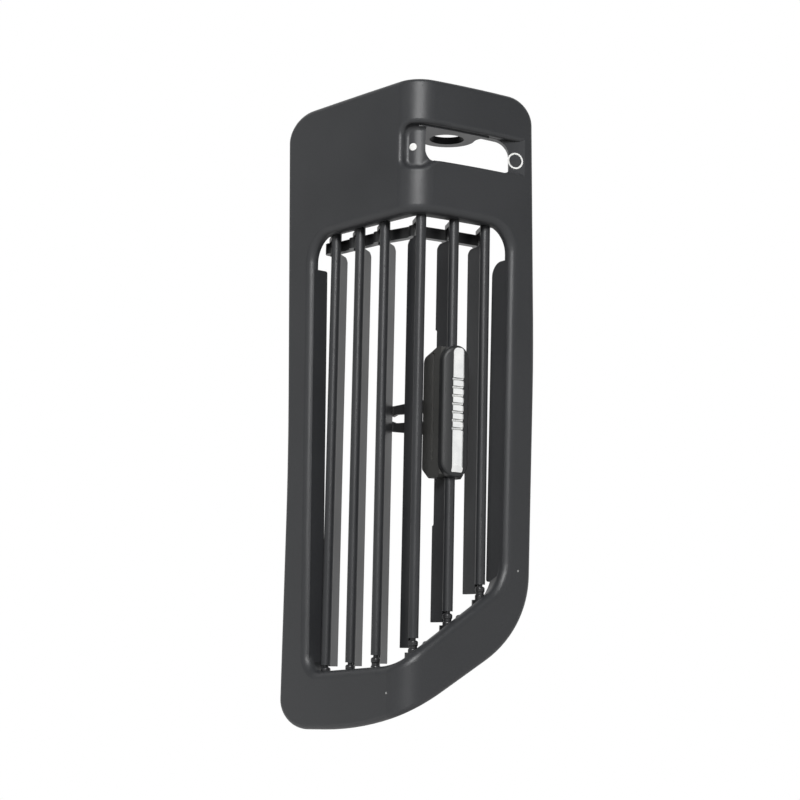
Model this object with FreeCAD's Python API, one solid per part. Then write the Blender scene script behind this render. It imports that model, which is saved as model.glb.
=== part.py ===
import FreeCAD, Part
import math
import os

Vec = FreeCAD.Vector

# Wrapped front of the trim, seen from above: two gently bowed faces meet at a vertical crease.
# While modelling, X runs right, Y back into the pillar and Z up, from the crease at mid-height.
left_angle = 48.3
left_bow = 1890.0
right_angle = 27.0
right_bow = 238.0
crease_radius = 10.0

# Trim frame: outline corners in the front view as (x, z, corner radius).
outline = (
    (-45.3, 110.8, 9.5),
    (41.4, 111.0, 9.0),
    (43.2, 20.0, 900.0),
    (42.2, -74.0, 36.0),
    (-4.6, -107.8, 72.0),
    (-42.5, -109.6, 10.0),
    (-42.1, -15.0, 1500.0),
)
skin = 2.4
rim_wall = 2.2
rim_depth = 8.0
edge_round = 1.6

# Air opening: side walls square to the two faces, top and bottom edges in the front view.
left_lip_top = 54.6
left_lip_bottom = 51.2
right_lip_top = 40.9
right_lip_bottom = 39.7
opening_top = (-60.0, 62.9, 0.0), (12.0, 64.5, 60.0), (60.0, 63.0, 0.0)
opening_bottom = (60.0, -36.0, 0.0), (-2.5, -86.8, 16.0), (-60.0, -92.6, 0.0)
corner_top = 9.0
corner_right = 12.0
corner_left = 6.0
opening_back = 52.0
lip_round = 2.8
lip_wall = 2.0
lip_depth = 3.4

# Side guide walls behind the lip.
guide_wall = 1.8
left_guide = dict(reach=7.6, low=-88.0, high=52.3, nose=0.8)
right_guide = dict(reach=10.2, low=-58.0, high=53.0, nose=5.0)

# Thumbwheel scoop, window and pivot shelf above the opening.
scoop_low = 80.2
scoop_high = 95.2
scoop_step = (3.6, 9.0)
scoop_step_top = 84.4
scoop_step_round = 4.0
scoop_overrun = 8.0
scoop_left = (-4.4, 4.9)
scoop_left_turn = 40.0
scoop_corner = 3.6
scoop_depth = 3.4
scoop_foot = 1.7
scoop_rim = 1.6
scoop_fade = (30.0, 47.0)
scoop_wall = 2.0
scoop_backing = (
    (-6.5, 77.0, 4.0),
    (38.0, 77.0, 3.0),
    (38.0, 98.4, 3.0),
    (-6.5, 98.4, 4.0),
)
window = (
    (4.2, 82.6, 4.5),
    (33.4, 82.9, 1.8),
    (33.4, 95.0, 5.0),
    (4.2, 95.0, 1.0),
)
wheel_bore = 6.0
wheel_centre = (11.6, 20.6)
shelf_radius = 9.8
shelf_under = 94.6
shelf_thick = 2.5
shelf_right = 27.0
shelf_blend = 5.0

# Vanes: round nose bar with a thin blade behind it, turned about the nose.
pivot_inset = 5.6
first_left = 20.0
first_right = 6.7
pitch = 13.4
left_count = 3
vane_turns = (-20.0, -20.0, -20.0, 24.0, 32.0, 32.0)
foot_gaps = (2.0, 2.2, 3.9, 4.3, 4.3, 4.8)
nose_radius = 1.75
blade_length = 10.0
blade_root = 1.5
blade_tail = 1.0
blade_gaps = (1.6, 1.0, 1.1, 1.1, 0.7, 1.7)
blade_top = 57.6
blade_corner = 3.0
pin_radius = 0.9
pin_clear = 0.06

# Link bar and crank arms that turn the vanes together.
crank_radius = 8.0
crank_turn = 10.5
arm_width = 3.0
arm_thick = 1.6
link_thick = 3.8
link_width = 2.8
link_boss = 2.7
crank_pin = 1.0
crank_pin_out = 0.6

# Heights at the heads of the vanes, each above the last with its clearance.
link_under = blade_top + 1.0
arm_under = link_under + link_thick + 0.3
bar_top = arm_under + arm_thick + 0.2
top_rail_under = bar_top + 0.3

# Bearing rails and bushes.
rail_front = 3.6
rail_back = 7.8
rail_gap = 0.4
rail_thick = 3.0
rail_reach = 30.5
rail_end_gap = 0.3
boss_radius = 2.7
bush_radius = 1.65
bush_bead_height = 2.1
bush_bead_round = 0.7
bush_waist = 1.4
bush_waist_height = 0.4
bush_seat = 2.0
foot_clear = 0.7
side_clear = 0.4
boss_floor = 2.0
fit = 0.03

# Pegs that carry the rails, and snap arms that hold the trim frame in the pillar.
peg_radius = 0.7
peg_head = 1.25
peg_head_height = 0.7
pillar_hook_reach = 9.0
pillar_hook_width = 9.0
pillar_hook_wall = 1.8
pillar_hook_barb = 1.5
pillar_hook_ramp = 4.0
pillar_hook_places = ((62.0, -43.95, 42.3), (-45.0, -42.15, 42.35))

# Sliding knob on the fifth vane, in its own frame: x across, -y to the front, z up.
knob_vane = 5
knob_top = 20.6
knob_bottom = -24.2
grip_half = 5.4
grip_front = 4.5
grip_bulge = 1.7
grip_back = -0.8
grip_round = 1.4
body_half = 4.8
body_slope = 3.4
body_foot = 5.8
bore_clear = 0.15
slot_clear = 0.2
side_slot = (3.4, 4.5, 1.5)
side_slot_ends = (-18.0, 18.4)
trim_half = 2.15
trim_proud = 0.3
trim_seat = 3.3
neck_front = -2.7
neck_wall = 1.5
trim_ends = (-22.6, 19.6)
trim_bevel = 2.4
seam = 0.05
groove_pitch = 2.8
groove_count = 7
groove_middle = 0.5
groove_radius = 0.55
groove_inset = 0.05
groove_overrun = 1.0
recess_depth = 1.2
recess_ends = (-39.8, 27.6)
plate_thick = 0.9
plate_gap = 0.3
plate_half = 3.4
plate_ends = (-20.4, 16.6)
pad_length = 12.0
pad_middle = 9.0
pad_thick = 1.2

# Fork on the back of the knob.
fork_middle = -2.7
fork_root = -2.2
fork_run = (-6.4, 13.0)
fork_web = 1.6
fork_gap = 1.5
fork_root_half = 6.2
fork_tip_half = 4.4
fork_lip = 0.7
fork_lip_length = 1.6

# Back of the knob: its plate runs just behind the floor of the vane's recess.
body_back = blade_length - recess_depth + plate_gap + plate_thick

reach = 80.0
far = 140.0

left_slope = math.radians(left_angle)
right_slope = math.radians(right_angle)
left_centre = Vec(math.sin(left_slope), math.cos(left_slope), 0) * left_bow
right_centre = Vec(-math.sin(right_slope), math.cos(right_slope), 0) * right_bow


def left_normal(along):
    """Inward normal of the left face, along millimetres out from the crease."""
    a = left_slope + along / left_bow
    return Vec(math.sin(a), math.cos(a), 0)


def right_normal(along):
    """Inward normal of the right face, along millimetres out from the crease."""
    a = right_slope + along / right_bow
    return Vec(-math.sin(a), math.cos(a), 0)


def left_point(along, inset=0.0):
    """Point on the left face moved in by inset."""
    return left_centre - left_normal(along) * (left_bow - inset)


def right_point(along, inset=0.0):
    """Point on the right face moved in by inset."""
    return right_centre - right_normal(along) * (right_bow - inset)


def crease_point(inset):
    """Where the two faces, both moved in by inset, cross: the front crossing of two circles."""
    r_left = left_bow - inset
    r_right = right_bow - inset
    line = right_centre - left_centre
    span = line.Length
    line.normalize()
    foot = (r_left ** 2 - r_right ** 2 + span ** 2) / (2 * span)
    rise = math.sqrt(r_left ** 2 - foot ** 2)
    across = Vec(-line.y, line.x, 0)
    crossings = [left_centre + line * foot + across * side * rise for side in (-1, 1)]
    return min(crossings, key=lambda p: p.y)


def at_height(point, z):
    return Vec(point.x, point.y, z)


def touches(shape, point):
    return shape.distToShape(Part.Vertex(point))[0] < 0.01


def edge_near(shape, point):
    """The edge that passes nearest to a point."""
    probe = Part.Vertex(point)
    return min(shape.Edges, key=lambda e: e.distToShape(probe)[0])


def edges_where(shape, test, samples=3):
    """Edges of which every sample point passes the test."""
    found = []
    for edge in shape.Edges:
        first, last = edge.ParameterRange
        steps = [first + (last - first) * (i + 0.5) / samples for i in range(samples)]
        if all(test(edge.valueAt(s)) for s in steps):
            found.append(edge)
    return found


def rounded_wire(corners, place):
    """Closed wire of straight runs with an arc at each corner that has a radius."""
    points = [Vec(c[0], c[1], 0) for c in corners]
    edges = []
    ends = []
    count = len(points)
    for i, point in enumerate(points):
        before = points[i - 1] - point
        after = points[(i + 1) % count] - point
        before.normalize()
        after.normalize()
        half = before.getAngle(after) / 2
        radius = corners[i][2]
        tangent = radius / math.tan(half)
        middle = before + after
        middle.normalize()
        start = point + before * tangent
        end = point + after * tangent
        top = point + middle * (radius / math.sin(half) - radius)
        ends.append((start, top, end, radius))
    for i, (start, top, end, radius) in enumerate(ends):
        if radius > 0:
            edges.append(Part.Arc(place(start), place(top), place(end)).toShape())
        edges.append(Part.makeLine(place(end), place(ends[(i + 1) % count][0])))
    return Part.Wire(edges)


def grown_outline(corners, grow):
    """The same closed outline with its runs moved outwards by grow."""
    count = len(corners)
    points = [Vec(c[0], c[1], 0) for c in corners]
    area = sum(points[i - 1].cross(points[i]).z for i in range(count))
    turn = 1 if area > 0 else -1
    moved = []
    for i, point in enumerate(points):
        run_in = point - points[i - 1]
        run_out = points[(i + 1) % count] - point
        run_in.normalize()
        run_out.normalize()
        out_a = Vec(run_in.y, -run_in.x, 0) * turn
        out_b = Vec(run_out.y, -run_out.x, 0) * turn
        shift = (out_a + out_b) * (grow / (1 + out_a.dot(out_b)))
        bend = 1 if run_in.cross(run_out).z * turn > 0 else -1
        radius = corners[i][2]
        moved.append((point.x + shift.x, point.y + shift.y, radius + bend * grow if radius else 0.0))
    return moved


def front_prism(corners, grow=0.0, start=-40.0, end=far):
    """Solid along Y from an outline in the front view, grown outwards by grow."""
    wire = rounded_wire(grown_outline(corners, grow), lambda p: Vec(p.x, start, p.y))
    return Part.Face(wire).extrude(Vec(0, end - start, 0))


def plan_prism(points, low, high):
    """Solid along Z from straight runs in the plan."""
    wire = Part.makePolygon([at_height(p, low) for p in list(points) + [points[0]]])
    return Part.Face(wire).extrude(Vec(0, 0, high - low))


def wrap_block(inset, low=-far, high=far, back=far):
    """Everything behind the wrapped face moved in by inset."""
    apex = crease_point(inset)
    left_end = left_point(reach, inset)
    right_end = right_point(reach, inset)
    edges = [
        Part.Arc(left_end, left_point(reach / 2, inset), apex).toShape(),
        Part.Arc(apex, right_point(reach / 2, inset), right_end).toShape(),
        Part.makeLine(right_end, Vec(right_end.x, back, 0)),
        Part.makeLine(Vec(right_end.x, back, 0), Vec(left_end.x, back, 0)),
        Part.makeLine(Vec(left_end.x, back, 0), left_end),
    ]
    block = Part.Face(Part.Wire(edges)).extrude(Vec(0, 0, high - low))
    block.translate(Vec(0, 0, low))
    fold = edge_near(block, at_height(apex, (low + high) / 2))
    return block.makeFillet(max(crease_radius - inset, 1.0), [fold])


def slab(inset, depth, low=-far, high=far):
    """Layer of the wrapped form between two insets."""
    return wrap_block(inset, low, high).cut(wrap_block(depth, low - 1, high + 1))


def lip_share(z):
    """0 at the foot of the opening's side walls, 1 at their top."""
    low = opening_bottom[2][1]
    high = opening_top[0][1]
    return (z - low) / (high - low)


def left_lip(z):
    return left_lip_bottom + (left_lip_top - left_lip_bottom) * lip_share(z)


def right_lip(z):
    return right_lip_bottom + (right_lip_top - right_lip_bottom) * lip_share(z)


def opening(grow=0.0):
    """The air opening as a solid, its walls moved outwards by grow."""
    core = front_prism(opening_top + opening_bottom, grow, end=opening_back)
    core = core.cut(beyond_wall(left_point, left_normal, left_lip, grow, -1))
    core = core.cut(beyond_wall(right_point, right_normal, right_lip, grow, 1))
    corners = (
        (left_point(left_lip(63) + grow, 6.0), opening_top[0][1] + grow, corner_top),
        (right_point(right_lip(63) + grow, 6.0), opening_top[2][1] + grow, corner_top),
        (left_point(left_lip(-90) + grow, 6.0), opening_bottom[2][1] + 2.7 - grow, corner_left),
        (right_point(right_lip(-57) + grow, 6.0), lower_edge(34.0) - grow, corner_right),
    )
    for point, z, radius in corners:
        core = core.makeFillet(radius + grow, [edge_near(core, at_height(point, z))])
    return core


def beyond_wall(face_point, face_normal, lip_at, grow, side):
    """Everything on the outer side of one of the opening's side walls."""
    foot = at_height(face_point(lip_at(-far) + grow), -far)
    head = at_height(face_point(lip_at(far) + grow), far)
    inward = face_normal(lip_at(0)) * far
    outward = Vec(inward.y, -inward.x, 0) * side
    wall = Part.makePolygon([foot - inward, foot + inward, head + inward, head - inward, foot - inward])
    return Part.Face(wall).extrude(outward)


def lower_edge(x):
    """Height of the opening's lower edge, before its corners are rounded."""
    right_end, kink, left_end = opening_bottom
    a, b = (kink, right_end) if x > kink[0] else (left_end, kink)
    return a[1] + (b[1] - a[1]) * (x - a[0]) / (b[0] - a[0])


def guide_plate(face_point, lip_at, size):
    """Thin wall square to a face, from the lip back into the opening's side."""
    ends = []
    for z in (size["low"], size["high"]):
        along = lip_at(z)
        start = skin - 0.6
        ring = [
            face_point(along, start),
            face_point(along, size["reach"]),
            face_point(along + guide_wall, size["reach"]),
            face_point(along + guide_wall, start),
        ]
        ends.append(Part.makePolygon([at_height(p, z) for p in ring + [ring[0]]]))
    plate = Part.makeLoft(ends, True, True)
    rear = face_point(lip_at(size["high"]) + guide_wall / 2, size["reach"])
    plate = plate.makeFillet(size["nose"], [edge_near(plate, at_height(rear, size["high"]))])
    rear = face_point(lip_at(size["low"]) + guide_wall / 2, size["reach"])
    return plate.makeFillet(1.0, [edge_near(plate, at_height(rear, size["low"]))])


def scoop_cutter():
    """Hollow of the finger scoop, with a rounded foot all round its floor."""
    low, high = scoop_low, scoop_high
    edge = Vec(scoop_left[0], scoop_left[1], 0)
    turn = math.radians(scoop_left_turn)
    inward = Vec(math.sin(turn), math.cos(turn), 0) * reach
    across = Vec(inward.y, -inward.x, 0)
    cutter = plan_prism([edge - inward, edge + inward, edge + inward + across, edge - inward + across],
                        low - 1, high + 1)
    step_left, step_right = scoop_step
    right_end = scoop_right_end()
    cutter = cutter.common(front_prism([
        (-reach, low, 0.0),
        (step_left, low, scoop_step_round),
        (step_right, scoop_step_top, scoop_step_round),
        (right_end, scoop_step_top, 0.0),
        (right_end, high, 0.0),
        (-reach, high, 0.0),
    ]))
    for z in (low, high):
        cutter = cutter.makeFillet(scoop_corner, [edge_near(cutter, edge + Vec(0, 0, z))])
    floor = wrap_block(scoop_depth, low - 30, high + 30)
    cutter = cutter.cut(floor)
    foot = edges_where(cutter, lambda p: touches(floor, p) and p.x < right_end - 1)
    return cutter.makeFillet(scoop_foot, foot)


def scoop_right_end():
    """Right end of the scoop's cut, beyond its rise to the face."""
    return right_point(scoop_fade[1]).x + scoop_overrun


def scooped_block():
    """Everything behind the wrapped face, less the scoop with its rounded rim and its rise to the face."""
    block = wrap_block(0.0)
    surface = block.Shells[0]
    cutter = scoop_cutter()
    body = block.cut(cutter)
    right_end = scoop_right_end()
    rim = edges_where(body, lambda p: p.x < right_end - 1 and touches(surface, p) and touches(cutter, p))
    body = body.makeFillet(scoop_rim, rim)
    return body.fuse(scoop_ramp(scoop_low - 5, scoop_high + 5).common(block))


def scoop_ramp(low, high):
    """Hollow rise from the scoop's floor to the face, tangent to the floor."""
    along, end_along = scoop_fade
    start = right_point(along, scoop_depth)
    end = right_point(end_along, -0.2)
    inward = right_normal(along)
    tangent = Vec(inward.y, -inward.x, 0)
    chord = end - start
    lean = chord.getAngle(tangent)
    bulge = inward * (chord.Length / 2 * math.tan(lean / 2))
    middle = start + chord * 0.5 + bulge
    rise = Part.Arc(at_height(start, low), at_height(middle, low), at_height(end, low)).toShape()
    far_end = at_height(end + chord * 4, low)
    back = Vec(0, 60, 0)
    rest = Part.makePolygon([at_height(end, low), far_end, far_end + back, at_height(start, low) + back,
                             at_height(start, low)])
    return Part.Face(Part.Wire([rise] + rest.Edges)).extrude(Vec(0, 0, high - low))


def pivot_shelf():
    """Shelf above the window with the thumbwheel's pivot bore."""
    centre = Vec(wheel_centre[0], wheel_centre[1], shelf_under)
    disc = Part.makeCylinder(shelf_radius, shelf_thick, centre)
    left = wheel_centre[0] - shelf_radius
    rear_right = right_point(30.0, skin).y + 0.6
    web = plan_prism([Vec(left, -5, 0), Vec(shelf_right, -5, 0), Vec(shelf_right, rear_right, 0),
                      Vec(wheel_centre[0], wheel_centre[1], 0), Vec(left, wheel_centre[1], 0)],
                     shelf_under, shelf_under + shelf_thick)
    plate = disc.fuse(web).removeSplitter()
    inner = [e for e in edges_where(plate, lambda p: p.x > wheel_centre[0] + 3 and p.y > 15)
             if abs(e.tangentAt(e.FirstParameter).z) > 0.999
             and e.valueAt(e.FirstParameter).x < shelf_right - 1]
    if inner:
        plate = plate.makeFillet(shelf_blend, inner)
    plate = plate.common(wrap_block(skin - 0.4, shelf_under - 5, shelf_under + 20))
    bore = Part.makeCylinder(wheel_bore, 3 * shelf_thick, centre - Vec(0, 0, shelf_thick))
    return plate.cut(bore)


def face_y(x, inset):
    """Depth of the wrapped face, moved in by inset, at a place in the front view."""
    found = []
    for centre, bow in ((left_centre, left_bow), (right_centre, right_bow)):
        found.append(centre.y - math.sqrt((bow - inset) ** 2 - (x - centre.x) ** 2))
    return max(found)


def rail_pegs(grow=0.0):
    """Pegs behind the skin that carry the two rails, with their pressed heads."""
    places = [(left_point, left_normal, first_left + pitch * (i + 0.5)) for i in range(left_count - 1)]
    places += [(right_point, right_normal, first_right + pitch * (i + 0.5)) for i in range(left_count - 1)]
    found = []
    for face_point, face_normal, along in places:
        start = face_point(along, skin - 0.6)
        inward = face_normal(along)
        low = lower_edge(face_point(along, pivot_inset).x) - rail_gap - rail_middle(start.x)
        for z in (low, top_rail_under + rail_thick / 2):
            length = rail_back + 0.1 - (skin - 0.6)
            peg = Part.makeCylinder(peg_radius + grow, length, at_height(start, z), inward)
            if not grow:
                neck = at_height(start, z) + inward * length
                peg = peg.fuse(Part.makeCylinder(peg_head, peg_head_height, neck, inward))
            found.append(peg)
    return found


def rail_middle(x):
    """Half the lower rail's upright thickness, more where it slopes."""
    return rail_thick / 2 if x < opening_bottom[1][0] else rail_thick / 2 * 1.3


def pillar_hooks():
    """Barbed snap arms on the rear rim that hold the trim in the pillar."""
    found = []
    for z, left, right in pillar_hook_places:
        for x, side in ((left, -1), (right, 1)):
            y0 = face_y(x, rim_depth) - 2.0
            y1 = y0 + 2.0 + pillar_hook_reach
            inner = x - side * pillar_hook_wall
            barb = Vec(inner - side * pillar_hook_barb, y1 - pillar_hook_ramp, 0)
            points = [Vec(inner, y0, 0), Vec(x, y0, 0), Vec(x, y1, 0), Vec(inner, y1, 0), barb,
                      Vec(inner, barb.y - pillar_hook_barb, 0)]
            half = pillar_hook_width / 2
            found.append(plan_prism(points, z - half, z + half))
    return found


def pivot(number):
    """Vane pivot in the plan and the height of the opening's lower edge below it."""
    if number <= left_count:
        along = first_left + pitch * (left_count - number)
        return left_point(along, pivot_inset)
    along = first_right + pitch * (number - left_count - 1)
    return right_point(along, pivot_inset)


def vane_numbers():
    return range(1, len(vane_turns) + 1)


def foot_height(number):
    return lower_edge(pivot(number).x) + foot_gaps[number - 1]


def crank_vector():
    turn = math.radians(crank_turn)
    return Vec(-math.sin(turn), math.cos(turn), 0) * crank_radius


def upright(radius, x, y, low, high):
    return Part.makeCylinder(radius, high - low, Vec(x, y, low))


def vane(number):
    """One vane: nose bar, blade, pivot pins and crank arm."""
    foot = foot_height(number)
    low = lower_edge(pivot(number).x) + blade_gaps[number - 1]
    taper = [Vec(-blade_root / 2, 0, 0), Vec(-blade_tail / 2, blade_length, 0),
             Vec(blade_tail / 2, blade_length, 0), Vec(blade_root / 2, 0, 0)]
    blade = plan_prism(taper, low, blade_top)
    tail = edges_where(blade, lambda p: p.y > blade_length - 0.01 and low + 1 < p.z < blade_top - 1)
    blade = blade.makeFillet(blade_tail * 0.45, tail)
    side = [(0.0, low, 0.0), (blade_length, low, 0.8),
            (blade_length, blade_top, blade_corner), (0.0, blade_top, 0.0)]
    wire = rounded_wire(side, lambda p: Vec(-5, p.x, p.y))
    blade = blade.common(Part.Face(wire).extrude(Vec(10, 0, 0)))
    if number == knob_vane:
        blade = blade.cut(blade_recess())
    step = bush_radius + side_clear
    notch = plan_prism([Vec(-3, -3, 0), Vec(3, -3, 0), Vec(3, step, 0), Vec(-3, step, 0)], low - 1, foot)
    blade = blade.cut(notch)
    bar = upright(nose_radius, 0, 0, foot, bar_top)
    pins = upright(pin_radius, 0, 0, foot - foot_clear - bush_length(number) + 0.2,
                   top_rail_under + rail_thick - 0.2)
    body = bar.fuse(blade).fuse(pins)
    body.rotate(Vec(0, 0, 0), Vec(0, 0, 1), vane_turns[number - 1])
    body = body.fuse(crank_arm())
    body = body.removeSplitter()
    body.translate(pivot(number))
    return body


def blade_recess():
    low, high = recess_ends
    edge = blade_length - recess_depth
    behind = blade_length + 3
    side = [(edge, low, 0.8), (behind, low, 0.0), (behind, high, 0.0), (edge, high, 0.8)]
    wire = rounded_wire(side, lambda p: Vec(-5, p.x, p.y))
    return Part.Face(wire).extrude(Vec(10, 0, 0))


def crank_arm():
    """Arm at the head of a vane with the pin that enters the link bar."""
    reach_out = crank_vector()
    across = Vec(reach_out.y, -reach_out.x, 0)
    across.normalize()
    half = across * (arm_width / 2)
    arm = plan_prism([half * -1, reach_out - half, reach_out + half, half],
                     arm_under, arm_under + arm_thick)
    end = upright(arm_width / 2, reach_out.x, reach_out.y, arm_under, arm_under + arm_thick)
    pin = upright(crank_pin, reach_out.x, reach_out.y, link_under - crank_pin_out, arm_under)
    return arm.fuse(end).fuse(pin)


def link_bar():
    """Flat bar through all crank pins, wider round each hole."""
    stations = [pivot(n) + crank_vector() for n in vane_numbers()]
    low = link_under
    high = link_under + link_thick
    body = None
    for point in stations:
        boss = upright(link_boss, point.x, point.y, low, high)
        body = boss if body is None else body.fuse(boss)
    for a, b in zip(stations, stations[1:]):
        run = b - a
        run.normalize()
        half = Vec(-run.y, run.x, 0) * (link_width / 2)
        body = body.fuse(plan_prism([a - half, b - half, b + half, a + half], low, high))
    for point in stations:
        body = body.cut(upright(crank_pin + pin_clear, point.x, point.y, low - 1, high + 1))
    return body.removeSplitter()


def bush_length(number):
    """Length of a bush from its bead down to its seat in the rail."""
    return foot_gaps[number - 1] - foot_clear + rail_gap + bush_seat


def bush(number):
    """Plastic bush that stands in the lower rail: a rounded head, a waist and a rounded shank."""
    point = pivot(number)
    top = foot_height(number) - foot_clear
    low = top - bush_length(number)
    shank_top = top - bush_bead_height - bush_waist_height
    head = upright(bush_radius, point.x, point.y, top - bush_bead_height, top)
    for z in (top, top - bush_bead_height):
        head = head.makeFillet(bush_bead_round, edges_where(head, lambda p: abs(p.z - z) < 0.01))
    shank = upright(bush_radius, point.x, point.y, low, shank_top)
    shank = shank.makeFillet(bush_bead_round, edges_where(shank, lambda p: abs(p.z - shank_top) < 0.01))
    waist = upright(bush_waist, point.x, point.y, low + bush_bead_round, top - bush_bead_round)
    bore = upright(pin_radius + pin_clear, point.x, point.y, low - 1, top + 1)
    return head.fuse(shank).fuse(waist).cut(bore).removeSplitter()


def top_rail():
    """Upper bearing rail behind the lip."""
    low = top_rail_under
    high = low + rail_thick
    band = slab(rail_front, rail_back, low, high)
    limits = Part.makeBox(2 * rail_reach, 2 * far, 2 * rail_thick, Vec(-rail_reach, -far, low - 1))
    band = band.common(limits)
    for number in vane_numbers():
        point = pivot(number)
        band = band.cut(upright(pin_radius + pin_clear, point.x, point.y, low - 1, high + 1))
    for peg in rail_pegs(fit):
        band = band.cut(peg)
    return band


def bottom_rail():
    """Lower bearing rail: a band that follows the opening's lower edge, with a seat under each vane."""
    band = opening(rail_gap + rail_thick).cut(opening(rail_gap))
    band = band.common(slab(rail_front, rail_back, -far, -50.0))
    band = band.cut(beyond_wall(left_point, left_normal, left_lip, -rail_end_gap, -1))
    band = band.cut(beyond_wall(right_point, right_normal, right_lip, -rail_end_gap, 1))
    for number in vane_numbers():
        point = pivot(number)
        seat = lower_edge(point.x) - rail_gap
        boss = upright(boss_radius, point.x, point.y, seat - bush_seat - boss_floor, seat)
        band = band.fuse(boss.common(slab(rail_front, rail_back, -far, -40.0)))
    for number in vane_numbers():
        point = pivot(number)
        seat = lower_edge(point.x) - rail_gap
        band = band.cut(upright(bush_radius + fit, point.x, point.y, seat - bush_seat, 0.0))
    for peg in rail_pegs(fit):
        band = band.cut(peg)
    return band.removeSplitter()


def bezel():
    """Trim frame: one moulding with skin, rim, lip, side guides, scoop, window, shelf and hooks."""
    hole = opening()
    body = scooped_block().cut(wrap_block(rim_depth)).common(front_prism(outline))
    wire_wall = front_prism(outline, -0.4)

    def on_outline(p):
        return face_inset(p) < 1.6 and not wire_wall.isInside(p, 0.01, False)

    body = body.makeFillet(edge_round, edges_where(body, on_outline))
    body = body.cut(hole)
    near_hole = opening(0.05)

    def on_lip(p):
        return face_inset(p) < 1.6 and near_hole.isInside(p, 0.01, True)

    body = body.makeFillet(lip_round, edges_where(body, on_lip))
    inner = front_prism(outline, -rim_wall)
    backing = front_prism(scoop_backing).cut(wrap_block(scoop_depth + scoop_wall))
    body = body.cut(wrap_block(skin).common(inner).cut(opening(lip_wall)).cut(backing))
    body = body.cut(wrap_block(lip_depth).common(inner).cut(backing))
    body = body.fuse(guide_plate(left_point, left_lip, left_guide))
    body = body.fuse(guide_plate(right_point, right_lip, right_guide))
    body = body.cut(front_prism(window))
    body = body.fuse(pivot_shelf())
    for extra in rail_pegs() + pillar_hooks():
        body = body.fuse(extra)
    return body.removeSplitter()


def face_inset(p):
    """Distance in from the wrapped face, before its crease is rounded."""
    flat = Vec(p.x, p.y, 0)
    return min(left_bow - (flat - left_centre).Length, right_bow - (flat - right_centre).Length)


def knob_body():
    """Rear half of the knob: a channel round the vane with a spring slot in each flank."""
    x = body_half
    plan = [Vec(-x, grip_back, 0), Vec(x, grip_back, 0), Vec(x, body_back, 0), Vec(-x, body_back, 0)]
    block = plan_prism(plan, knob_bottom, knob_top)
    side = [(grip_back, knob_bottom + 1.2, 0.0), (grip_back + 1.4, knob_bottom, 1.0),
            (body_foot, knob_bottom, 2.0), (body_back, knob_bottom + body_slope, 1.2),
            (body_back, knob_top - body_slope, 2.4), (grip_back + 1.6, knob_top, 1.8),
            (grip_back, knob_top - 0.5, 0.0)]
    wire = rounded_wire(side, lambda p: Vec(-10, p.x, p.y))
    block = block.common(Part.Face(wire).extrude(Vec(20, 0, 0)))
    block = block.fuse(grip_neck()).cut(vane_channel())
    first, last, deep = side_slot
    low, high = side_slot_ends
    for sign in (-1, 1):
        slot = plan_prism([Vec(sign * (x - deep), first, 0), Vec(sign * (x + 1), first, 0),
                           Vec(sign * (x + 1), last, 0), Vec(sign * (x - deep), last, 0)], low, high)
        block = block.cut(slot)
    return block.cut(back_plate(seam)).cut(friction_pad(seam)).removeSplitter()


def shield(inset):
    """Outline of the grip seen from the front, moved in by inset."""
    half = grip_half - inset
    low = knob_bottom + inset
    high = knob_top - inset
    radius = half - 0.01
    return [(-half, low, radius), (half, low, radius), (half, high, radius), (-half, high, radius)]


def grip_neck(grow=0.0):
    """Tongue on the front of the knob body that the grip is pushed over."""
    wire = rounded_wire(shield(neck_wall - grow), lambda p: Vec(p.x, neck_front - grow, p.y))
    return Part.Face(wire).extrude(Vec(0, grip_back - neck_front + 2 * grow, 0))


def vane_channel():
    """Room for the vane inside the knob."""
    bore = upright(nose_radius + bore_clear, 0, 0, knob_bottom - 1, knob_top + 1)
    half = blade_root / 2 + slot_clear
    rear = body_back + 1
    slot = plan_prism([Vec(-half, 0, 0), Vec(half, 0, 0), Vec(half, rear, 0), Vec(-half, rear, 0)],
                      knob_bottom - 1, knob_top + 1)
    return bore.fuse(slot)


def back_plate(grow=0.0):
    """Plate that closes the channel behind the vane."""
    half = plate_half + grow
    front = body_back - plate_thick - grow
    low, high = plate_ends
    rear = body_back
    return plan_prism([Vec(-half, front, 0), Vec(half, front, 0), Vec(half, rear, 0), Vec(-half, rear, 0)],
                      low - grow, high + grow)


def friction_pad(grow=0.0):
    """Rubber pad in the channel's flank that drags on the blade."""
    inner = blade_root / 2 + 0.08 - grow * 0.5
    half = pad_length / 2 + grow
    outer = inner + pad_thick + grow * 1.5
    return plan_prism([Vec(inner, 3.6 - grow, 0), Vec(outer, 3.6 - grow, 0), Vec(outer, 7.6 + grow, 0),
                       Vec(inner, 7.6 + grow, 0)], pad_middle - half, pad_middle + half)


def knob_fork():
    """Back plate with the two fork arms that reach behind the vanes."""
    plate = back_plate()
    root = Vec(fork_root, body_back, 0)
    run = Vec(fork_run[0], fork_run[1], 0)
    length = run.Length
    run.normalize()
    across = Vec(run.y, -run.x, 0) * (fork_web / 2)
    body = plate
    for sign in (-1, 1):
        lip = length - fork_lip_length
        heights = [(-0.5, fork_gap), (-0.5, fork_root_half), (length, fork_tip_half),
                   (length, fork_gap - fork_lip), (lip, fork_gap)]
        ring = [root + run * s - across + Vec(0, 0, fork_middle + sign * h) for s, h in heights]
        arm = Part.Face(Part.makePolygon(ring + [ring[0]])).extrude(across * 2)
        body = body.fuse(arm)
    behind = Part.makeBox(2 * far, far, 2 * far, Vec(-far, body_back - plate_thick, -far))
    return body.common(behind).removeSplitter()


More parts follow.
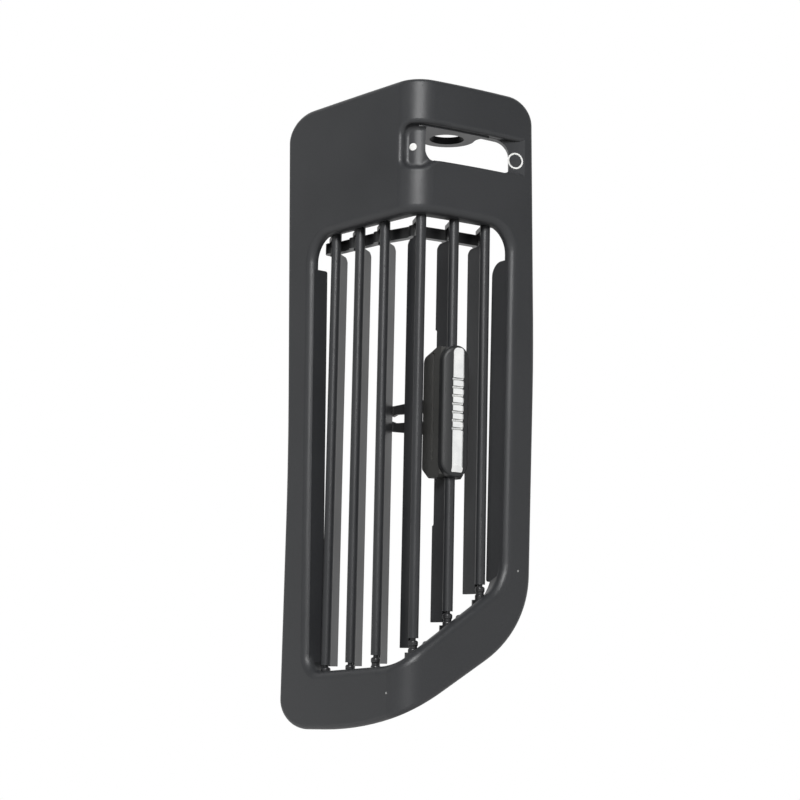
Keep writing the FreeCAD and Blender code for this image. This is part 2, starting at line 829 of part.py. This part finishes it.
def grip_profile(low, high, bulge=0.0):
    """Bowed front of the knob as a solid along Z."""
    edge = grip_front - grip_bulge
    half = grip_half
    points = [Vec(-half, -edge - bulge, low), Vec(0, -grip_front - bulge, low),
              Vec(half, -edge - bulge, low)]
    rear = [Vec(half, grip_back, low), Vec(-half, grip_back, low)]
    edges = [Part.Arc(*points).toShape(), Part.makeLine(points[2], rear[0]),
             Part.makeLine(rear[0], rear[1]), Part.makeLine(rear[1], points[0])]
    return Part.Face(Part.Wire(edges)).extrude(Vec(0, 0, high - low))


def groove_heights():
    first = groove_middle - groove_pitch * (groove_count - 1) / 2
    return [first + groove_pitch * i for i in range(groove_count)]


def grooves():
    """Half-round cross grooves for the fingertip."""
    half = trim_half + groove_overrun
    solid = None
    for z in groove_heights():
        start = Vec(-half, -grip_front - groove_inset, z)
        bar = Part.makeCylinder(groove_radius, 2 * half, start, Vec(1, 0, 0))
        solid = bar if solid is None else solid.fuse(bar)
    return solid


def knob_grip():
    """Front pad of the knob, a long rounded shield with a channel for the bright strip."""
    front = grip_profile(knob_bottom, knob_top)
    wire = rounded_wire(shield(0.0), lambda p: Vec(p.x, -20, p.y))
    front = front.common(Part.Face(wire).extrude(Vec(0, 40, 0)))
    rims = edges_where(front, lambda p: p.y < grip_back - 1.0)
    front = front.makeFillet(grip_round, rims)
    front = front.cut(trim_seat_block(seam))
    front = front.cut(grooves())
    return front.cut(grip_neck(seam)).cut(vane_channel()).removeSplitter()


def trim_seat_block(grow=0.0):
    half = trim_half + grow
    low, high = trim_ends
    corners = [(-half, low - grow, 0.6), (half, low - grow, 0.6),
               (half, high + grow, 1.6), (-half, high + grow, 1.6)]
    wire = rounded_wire(corners, lambda p: Vec(p.x, -20, p.y))
    return Part.Face(wire).extrude(Vec(0, 20 - trim_seat + grow, 0))


def knob_trim():
    """Bright strip let into the grip, bevelled at its lower end and grooved like the grip."""
    low, high = trim_ends
    strip = trim_seat_block().common(grip_profile(low - 1, high + 1, trim_proud))
    bevel = [(-grip_front - 2, low - 1), (-grip_front - 2, low + trim_bevel),
             (-grip_front - trim_proud, low + trim_bevel), (-trim_seat - 0.4, low - 1)]
    ring = [Vec(-5, y, z) for y, z in bevel]
    strip = strip.cut(Part.Face(Part.makePolygon(ring + [ring[0]])).extrude(Vec(10, 0, 0)))
    return strip.cut(grooves()).removeSplitter()


def on_knob_vane(shape):
    """Turns and moves a knob piece from its own frame onto its vane."""
    shape.rotate(Vec(0, 0, 0), Vec(0, 0, 1), vane_turns[knob_vane - 1])
    shape.translate(pivot(knob_vane))
    return shape


def pieces():
    yield "bezel", bezel()
    yield "top_rail", top_rail()
    yield "bottom_rail", bottom_rail()
    for number in vane_numbers():
        yield "vane_%d" % number, vane(number)
        yield "pin_bush_%d" % number, bush(number)
    yield "link_bar", link_bar()
    yield "knob_body", on_knob_vane(knob_body())
    yield "knob_grip", on_knob_vane(knob_grip())
    yield "knob_trim", on_knob_vane(knob_trim())
    yield "knob_fork", on_knob_vane(knob_fork())
    yield "friction_pad", on_knob_vane(friction_pad())


seat = crease_point(rim_depth)
os.makedirs("parts", exist_ok=True)
for name, shape in pieces():
    shape.translate(seat * -1)
    solids = shape.Solids
    print(name, "solids", len(solids), "valid", shape.isValid(), "volume", round(shape.Volume, 1))
    kept = solids[0] if len(solids) == 1 else Part.makeCompound(solids)
    kept.exportStep("parts/%s.step" % name)
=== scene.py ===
import math

import bpy
import numpy as np
from mathutils import Matrix, Vector


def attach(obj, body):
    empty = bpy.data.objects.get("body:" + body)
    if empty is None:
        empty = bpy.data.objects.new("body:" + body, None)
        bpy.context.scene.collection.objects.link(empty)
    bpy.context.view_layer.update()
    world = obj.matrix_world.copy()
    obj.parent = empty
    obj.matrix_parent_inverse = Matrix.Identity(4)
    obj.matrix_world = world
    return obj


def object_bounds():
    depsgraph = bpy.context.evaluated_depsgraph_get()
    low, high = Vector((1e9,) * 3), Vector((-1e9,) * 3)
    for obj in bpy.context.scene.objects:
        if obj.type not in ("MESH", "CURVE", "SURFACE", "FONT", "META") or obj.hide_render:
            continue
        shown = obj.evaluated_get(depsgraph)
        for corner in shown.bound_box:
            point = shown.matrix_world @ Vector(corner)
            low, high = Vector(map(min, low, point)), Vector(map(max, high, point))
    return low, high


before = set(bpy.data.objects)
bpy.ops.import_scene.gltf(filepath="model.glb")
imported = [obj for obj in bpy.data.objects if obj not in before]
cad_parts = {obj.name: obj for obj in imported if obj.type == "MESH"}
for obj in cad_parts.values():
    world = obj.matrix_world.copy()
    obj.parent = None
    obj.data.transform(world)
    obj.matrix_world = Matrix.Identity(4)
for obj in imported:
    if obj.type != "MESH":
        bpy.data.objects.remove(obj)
cad_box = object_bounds()

MM = 0.001

# The photograph's frame and camera: eye height below the middle of the trim, looking up at it.
IMAGE_PIXELS = 800
SENSOR_MM = 36.0
FOCAL_PIXELS = 1878.8
CAMERA_DISTANCE = 620 * MM
CAMERA_PITCH = math.radians(8.0)
CAMERA_ROLL = math.radians(1.15)
FRAME_SHIFT = -8 / IMAGE_PIXELS
CLIP_NEAR = 10 * MM
CLIP_FAR = 20.0

# Front crease of the trim at mid-height, seen from the record's origin.
CREASE = Vector((-1.820, -9.999, 0.0)) * MM

# Plan of the two faces, as in the CAD: angle back from the X axis at the crease, and bow radius.
LEFT_ANGLE = math.radians(48.3)
LEFT_BOW = 1890 * MM
RIGHT_ANGLE = math.radians(27.0)
RIGHT_BOW = 238 * MM
CREASE_RADIUS = 10 * MM

# Finger scoop, as in the CAD: floor depth, and the rise to the face between two places along the right face.
SCOOP_DEPTH = 3.4 * MM
SCOOP_RISE = (30 * MM, 47 * MM)
SCOOP_RISE_OVER = 0.2 * MM

# Printed marks beside the thumbwheel window.
DOT_PLACE = (0.0, 87.8 * MM)
DOT_RADIUS = 1.3 * MM
RING_PLACE = (35.8 * MM, 88.4 * MM)
RING_RADIUS = 2.9 * MM
RING_LINE = 0.6 * MM
INK_HEIGHT = 0.06 * MM
INK_RINGS = 6
INK_SEGMENTS = 64
SLOPE_STEP = 0.01 * MM

# Two flecks of dust on the trim, from the record's origin.
DUST_PLACES = (Vector((-7.07, -4.08, -95.76)) * MM, Vector((36.61, 14.48, -54.31)) * MM)
DUST_RADIUS = 0.36 * MM
DUST_COLOUR = "#a8a8a6"

# Plastics: share of grain and of broad patches in the tone, and how far the patches move the shine.
GRAIN_SHARE = 0.5
GRAIN_DETAIL = 3.0
GRAIN_ROUGHNESS = 0.6
PATCH_SHARE = 0.5
PATCH_SIZE = 30 * MM
PATCH_RANGE = (0.3, 0.7)
TONE_RANGE = (0.25, 0.75)
SHINE_CHANGE = 0.04
RELIEF_STRENGTH = 0.6
PLASTIC_IOR = 1.5

# Octaves of the noise in the soft clouds of plastic, chrome and ink.
CLOUD_DETAIL = 2.0

CHROME_CLOUD_SIZE = 6 * MM
CHROME_ROUGHNESS = (0.08, 0.2)
CHROME_STOPS = ((0.3, "#dcdddc"), (0.7, "#f0f0ee"))
INK_SPECK_SIZE = 0.35 * MM
INK_ROUGHNESS = 0.55
INK_STOPS = ((0.3, "#dcdcd8"), (0.6, "#f4f4f2"))

# Backdrop: a floor below the part that bends up into a wall behind it.
STAGE_HALF = 6.0
FLOOR_DROP = 0.15
WALL_BACK = 2.2
BEND_RADIUS = 0.8
BEND_STEPS = 24
BACKDROP_SEEN = "#ffffff"
BACKDROP_LIT = "#5c5c5b"

# Lamps aimed at the part: name, place, width and height, watts.
LAMPS = (
    ("key", (-0.1, -1.3, 0.7), (0.6, 0.4), 23),
    ("right", (1.3, -0.65, 0.2), (1.3, 0.35), 1.4),
    ("left", (-1.5, -0.6, 0.4), (0.6, 0.8), 1.5),
)
WORLD_COLOUR = "#f4f6f8"
WORLD_STRENGTH = 0.16


def linear(hex_colour):
    """sRGB hex to linear RGBA."""
    parts = [int(hex_colour[i:i + 2], 16) / 255 for i in (1, 3, 5)]
    return [c / 12.92 if c <= 0.04045 else ((c + 0.055) / 1.055) ** 2.4 for c in parts] + [1.0]


def add(tree, kind, settings=None, stops=(), **inputs):
    """Adds a node: settings are its properties, stops a colour ramp's (position, hex colour) marks,
    inputs its sockets' values or links."""
    node = tree.nodes.new(kind)
    for name, value in (settings or {}).items():
        setattr(node, name, value)
    for number, (position, colour) in enumerate(stops):
        mark = node.color_ramp.elements[number]
        mark.position = position
        mark.color = linear(colour)
    for name, value in inputs.items():
        socket = node.inputs[int(name[1:])] if name[1:].isdigit() else node.inputs[name.replace("_", " ")]
        if isinstance(value, bpy.types.NodeSocket):
            tree.links.new(value, socket)
        else:
            socket.default_value = value
    return node


def new_material(name):
    """A material with its Principled shader and the piece's own coordinates."""
    material = bpy.data.materials.new(name)
    material.use_nodes = True
    tree = material.node_tree
    shader = tree.nodes["Principled BSDF"]
    place = add(tree, "ShaderNodeTexCoord").outputs["Object"]
    return material, tree, shader, place


def dusted(tree, colour, place):
    """Puts the flecks of dust on a colour."""
    for spot in DUST_PLACES:
        away = add(tree, "ShaderNodeVectorMath", {"operation": "DISTANCE"}, _0=place, _1=spot)
        inside = add(tree, "ShaderNodeMath", {"operation": "LESS_THAN"},
                     _0=away.outputs["Value"], _1=DUST_RADIUS)
        mix = add(tree, "ShaderNodeMixRGB", Fac=inside.outputs[0],
                  Color1=colour, Color2=linear(DUST_COLOUR))
        colour = mix.outputs[0]
    return colour


def moulded_plastic(name, dark, light, roughness, grain_mm, grain_depth_mm, dust=False):
    """Injection-moulded plastic: spark-eroded grain in relief, faint patches of shine, even colour."""
    material, tree, shader, place = new_material(name)
    grain = add(tree, "ShaderNodeTexNoise", Vector=place, Scale=1 / (grain_mm * MM),
                Detail=GRAIN_DETAIL, Roughness=GRAIN_ROUGHNESS).outputs["Fac"]
    patches = add(tree, "ShaderNodeTexNoise", Vector=place, Scale=1 / PATCH_SIZE,
                  Detail=CLOUD_DETAIL).outputs["Fac"]
    grain_tone = add(tree, "ShaderNodeMath", {"operation": "MULTIPLY"}, _0=grain, _1=GRAIN_SHARE)
    tone = add(tree, "ShaderNodeMath", {"operation": "MULTIPLY_ADD"},
               _0=patches, _1=PATCH_SHARE, _2=grain_tone.outputs[0])
    colour = add(tree, "ShaderNodeValToRGB", stops=zip(TONE_RANGE, (dark, light)),
                 Fac=tone.outputs[0]).outputs["Color"]
    tree.links.new(dusted(tree, colour, place) if dust else colour, shader.inputs["Base Color"])
    shine = add(tree, "ShaderNodeMapRange", Value=patches,
                From_Min=PATCH_RANGE[0], From_Max=PATCH_RANGE[1],
                To_Min=roughness - SHINE_CHANGE, To_Max=roughness + SHINE_CHANGE)
    tree.links.new(shine.outputs["Result"], shader.inputs["Roughness"])
    relief = add(tree, "ShaderNodeBump", Height=grain, Distance=grain_depth_mm * MM,
                 Strength=RELIEF_STRENGTH)
    tree.links.new(relief.outputs["Normal"], shader.inputs["Normal"])
    shader.inputs["IOR"].default_value = PLASTIC_IOR
    return material


def plated_chrome():
    """Chrome plate on plastic: bright mirror with a very faint cloud and hairline wear."""
    material, tree, shader, place = new_material("chrome_plate_on_abs")
    cloud = add(tree, "ShaderNodeTexNoise", Vector=place, Scale=1 / CHROME_CLOUD_SIZE,
                Detail=CLOUD_DETAIL).outputs["Fac"]
    wear = add(tree, "ShaderNodeMapRange", Value=cloud,
               To_Min=CHROME_ROUGHNESS[0], To_Max=CHROME_ROUGHNESS[1])
    tree.links.new(wear.outputs["Result"], shader.inputs["Roughness"])
    colour = add(tree, "ShaderNodeValToRGB", stops=CHROME_STOPS, Fac=cloud)
    tree.links.new(colour.outputs["Color"], shader.inputs["Base Color"])
    shader.inputs["Metallic"].default_value = 1.0
    return material


def pad_ink():
    """White pad-printing ink: matte, a little uneven where the grain lifts it."""
    material, tree, shader, place = new_material("white_pad_ink")
    speck = add(tree, "ShaderNodeTexNoise", Vector=place, Scale=1 / INK_SPECK_SIZE,
                Detail=CLOUD_DETAIL).outputs["Fac"]
    colour = add(tree, "ShaderNodeValToRGB", stops=INK_STOPS, Fac=speck)
    tree.links.new(colour.outputs["Color"], shader.inputs["Base Color"])
    shader.inputs["Roughness"].default_value = INK_ROUGHNESS
    return material


def stage_white(name, seen, lit):
    """Stage paint: the camera and mirrors see plain white, while other light falls on a pale surface."""
    material = bpy.data.materials.new(name)
    material.use_nodes = True
    tree = material.node_tree
    tree.nodes.clear()
    path = add(tree, "ShaderNodeLightPath")
    either = add(tree, "ShaderNodeMath", {"operation": "MAXIMUM"},
                 _0=path.outputs["Is Camera Ray"], _1=path.outputs["Is Glossy Ray"])
    any_view = add(tree, "ShaderNodeMath", {"operation": "MAXIMUM"},
                   _0=either.outputs[0], _1=path.outputs["Is Transmission Ray"])
    paint = add(tree, "ShaderNodeBsdfDiffuse", Color=linear(lit))
    glow = add(tree, "ShaderNodeEmission", Color=linear(seen), Strength=1.0)
    mix = add(tree, "ShaderNodeMixShader", Fac=any_view.outputs[0], _1=paint.outputs[0], _2=glow.outputs[0])
    add(tree, "ShaderNodeOutputMaterial", Surface=mix.outputs[0])
    return material


def face_circles(inset):
    """Centre and radius of the circle behind each face, moved in by inset, in the plan from the crease."""
    left = np.array([math.sin(LEFT_ANGLE), math.cos(LEFT_ANGLE)]) * LEFT_BOW
    right = np.array([-math.sin(RIGHT_ANGLE), math.cos(RIGHT_ANGLE)]) * RIGHT_BOW
    return (left, LEFT_BOW - inset), (right, RIGHT_BOW - inset)


def fold_centre():
    """Centre of the rounded crease: the front crossing of the two faces moved in by the crease's radius."""
    (left, left_radius), (right, right_radius) = face_circles(CREASE_RADIUS)
    span = np.linalg.norm(right - left)
    line = (right - left) / span
    foot = (left_radius ** 2 - right_radius ** 2 + span ** 2) / (2 * span)
    rise = math.sqrt(left_radius ** 2 - foot ** 2)
    across = np.array([-line[1], line[0]])
    return min((left + line * foot + across * side * rise for side in (-1, 1)), key=lambda p: p[1])


def face_depth(x, inset=0.0):
    """Depth behind the crease at each x, for the face moved in by inset: the deeper of two circles
    centre_y - sqrt(radius^2 - (x - centre_x)^2), with an arc round the fold's centre between
    their tangents."""
    circles = face_circles(inset)
    flat = np.maximum(*[centre[1] - np.sqrt(radius ** 2 - (x - centre[0]) ** 2)
                        for centre, radius in circles])
    fold = fold_centre()
    bend = CREASE_RADIUS - inset
    left_end, right_end = [fold[0] + bend * (fold - centre)[0] / np.linalg.norm(fold - centre)
                           for centre, _ in circles]
    curve = fold[1] - np.sqrt(np.maximum(bend ** 2 - (x - fold[0]) ** 2, 0.0))
    return np.where((x > left_end) & (x < right_end), curve, flat)


def rise_depth(x):
    """Depth of the scoop's rise at each x: centre_y + sqrt(radius^2 - (x - centre_x)^2), on the circle
    tangent to the scoop's floor at the start and through the end."""
    turns = [RIGHT_ANGLE + along / RIGHT_BOW for along in SCOOP_RISE]
    inwards = [np.array([-math.sin(turn), math.cos(turn)]) for turn in turns]
    middle, _ = face_circles(0.0)[1]
    start = middle - inwards[0] * (RIGHT_BOW - SCOOP_DEPTH)
    end = middle - inwards[1] * (RIGHT_BOW + SCOOP_RISE_OVER)
    chord = end - start
    radius = chord.dot(chord) / (-2 * inwards[0].dot(chord))
    centre = start - inwards[0] * radius
    return centre[1] + np.sqrt(radius ** 2 - (x - centre[0]) ** 2)


def mesh_piece(name, points, faces, material, body):
    """Puts arrays of points and faces into a piece that rides a body."""
    mesh = bpy.data.meshes.new(name)
    mesh.from_pydata(points.reshape(-1, 3).tolist(), [], faces.reshape(-1, faces.shape[-1]).tolist())
    mesh.update()
    mesh.materials.append(material)
    piece = bpy.data.objects.new(name, mesh)
    bpy.context.scene.collection.objects.link(piece)
    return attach(piece, body)


def grid_faces(rows, columns, closed=False):
    """Quads of a grid of points: an open sheet, or closed both ways into a ring."""
    r = np.arange(rows if closed else rows - 1)
    c = np.arange(columns if closed else columns - 1)
    r, c = np.meshgrid(r, c, indexing="ij")
    up, right = (r + 1) % rows, (c + 1) % columns
    return np.stack([r * columns + c, r * columns + right, up * columns + right, up * columns + c], -1)


def printed_mark(name, place, inner, outer, depth_at, material):
    """Ink ring, or dot when inner is 0: a closed thin band laid on the face.
    A point is the centre plus radius times (cos * squash, sin) in the front view, set back to the face's
    depth, where squash is 1 / sqrt(1 + slope^2), so that the mark is round on its sloping face."""
    slope = (depth_at(place[0] + SLOPE_STEP) - depth_at(place[0] - SLOPE_STEP)) / (2 * SLOPE_STEP)
    squash = 1 / math.sqrt(1 + slope ** 2)
    around = np.linspace(0, 2 * np.pi, INK_SEGMENTS, endpoint=False)
    outward = np.linspace(inner, outer, INK_RINGS)
    radii = np.concatenate([outward, outward[::-1]])
    lift = np.repeat([INK_HEIGHT, -INK_HEIGHT], INK_RINGS)
    x = place[0] + radii[:, None] * squash * np.cos(around)
    z = place[1] + radii[:, None] * np.sin(around)
    y = depth_at(x) - lift[:, None]
    points = np.stack([x + CREASE.x, y + CREASE.y, z + CREASE.z], -1)
    faces = grid_faces(len(radii), len(around), closed=True)
    return mesh_piece(name, points, faces, material, "frame")


def dress(nodes, materials):
    """Gives every CAD node its finish."""
    for name, node in nodes.items():
        finish = next(finish for start, finish in materials if name.startswith(start))
        for slot in node.material_slots:
            slot.material = finish


def camera():
    """Camera at the photograph's angle: below the middle, pitched up and rolled a little."""
    data = bpy.data.cameras.new("camera")
    data.sensor_width = SENSOR_MM
    data.lens = SENSOR_MM * FOCAL_PIXELS / IMAGE_PIXELS
    data.shift_x = FRAME_SHIFT
    data.clip_start = CLIP_NEAR
    data.clip_end = CLIP_FAR
    ahead = Vector((0, math.cos(CAMERA_PITCH), math.sin(CAMERA_PITCH)))
    level = Vector((1, 0, 0))
    upright = level.cross(ahead)
    right = level * math.cos(CAMERA_ROLL) + upright * math.sin(CAMERA_ROLL)
    up = upright * math.cos(CAMERA_ROLL) - level * math.sin(CAMERA_ROLL)
    turn = Matrix((right, up, -ahead)).transposed().to_4x4()
    eye = CREASE - ahead * CAMERA_DISTANCE
    lens = bpy.data.objects.new("camera", data)
    lens.matrix_world = Matrix.Translation(eye) @ turn
    bpy.context.scene.collection.objects.link(lens)
    bpy.context.scene.camera = lens


def lamp(name, place, size, power):
    """Soft area lamp aimed at the part."""
    data = bpy.data.lights.new(name, "AREA")
    data.shape = "RECTANGLE"
    data.size, data.size_y = size
    data.energy = power
    light = bpy.data.objects.new(name, data)
    light.location = place
    light.rotation_euler = (-Vector(place)).to_track_quat("-Z", "Y").to_euler()
    bpy.context.scene.collection.objects.link(light)


def studio():
    """Pale floor well under the held part, pale backdrop, soft lamps and an even world."""
    turn = np.linspace(0, np.pi / 2, BEND_STEPS)
    y = np.concatenate([[-STAGE_HALF], WALL_BACK - BEND_RADIUS + BEND_RADIUS * np.sin(turn), [WALL_BACK]])
    z = np.concatenate([[0.0], BEND_RADIUS - BEND_RADIUS * np.cos(turn), [STAGE_HALF]])
    z = z + cad_box[0].z - FLOOR_DROP
    x = np.array([-STAGE_HALF, STAGE_HALF])
    points = np.stack(np.broadcast_arrays(x[None, :], y[:, None], z[:, None]), -1)
    mesh = bpy.data.meshes.new("floor")
    mesh.from_pydata(points.reshape(-1, 3).tolist(), [], grid_faces(len(y), 2).reshape(-1, 4).tolist())
    mesh.shade_smooth()
    mesh.materials.append(stage_white("white_backdrop_paint", BACKDROP_SEEN, BACKDROP_LIT))
    floor = bpy.data.objects.new("floor", mesh)
    bpy.context.scene.collection.objects.link(floor)
    for row in LAMPS:
        lamp(*row)
    world = bpy.data.worlds.new("world")
    world.use_nodes = True
    sky = world.node_tree.nodes["Background"]
    sky.inputs["Color"].default_value = linear(WORLD_COLOUR)
    sky.inputs["Strength"].default_value = WORLD_STRENGTH
    bpy.context.scene.world = world
    bpy.context.scene.view_settings.view_transform = "Standard"


camera()
studio()

# Each plastic: dark and light tone, roughness, grain pitch and grain depth in mm. The pitch of real
# spark-eroded grain, 0.1 to 0.2 mm, is too fine to show from here, so it is drawn coarser.
trim = moulded_plastic("grained_pc_abs_trim", "#2b2c2e", "#353638", 0.45, 0.45, 0.03, dust=True)
vane_finish = moulded_plastic("satin_black_pbt_vane", "#28292b", "#313234", 0.42, 0.5, 0.012)
# Knob body: satin black PBT drawn lighter than the vanes. This is painted light, standing in for the light
# that falls on its left flank.
painted_light_knob_body_finish = moulded_plastic("satin_black_pbt_knob_body_painted_lighter", "#434342", "#4e4e4c", 0.42, 0.5, 0.012)
rail_finish = moulded_plastic("black_acetal_rail", "#1d1d1e", "#242526", 0.4, 0.6, 0.01)
bush_finish = moulded_plastic("dark_acetal_bush", "#242425", "#2e2e30", 0.35, 0.6, 0.008)
grip_finish = moulded_plastic("soft_touch_grip", "#1c1d1e", "#252627", 0.48, 0.4, 0.01)
rubber_finish = moulded_plastic("black_rubber_pad", "#141414", "#1b1b1b", 0.7, 0.5, 0.02)
chrome = plated_chrome()
ink = pad_ink()

dress(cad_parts, (
    ("bezel", trim), ("top_rail", rail_finish), ("bottom_rail", rail_finish), ("vane", vane_finish),
    ("pin_bush", bush_finish), ("link", rail_finish), ("knob_trim", chrome), ("knob_grip", grip_finish),
    ("knob_fork", rail_finish), ("knob_body", painted_light_knob_body_finish), ("friction_pad", rubber_finish),
))

printed_mark("print_dot", DOT_PLACE, 0.0, DOT_RADIUS, lambda x: face_depth(x, SCOOP_DEPTH), ink)
printed_mark("print_ring", RING_PLACE, RING_RADIUS - RING_LINE, RING_RADIUS, rise_depth, ink)
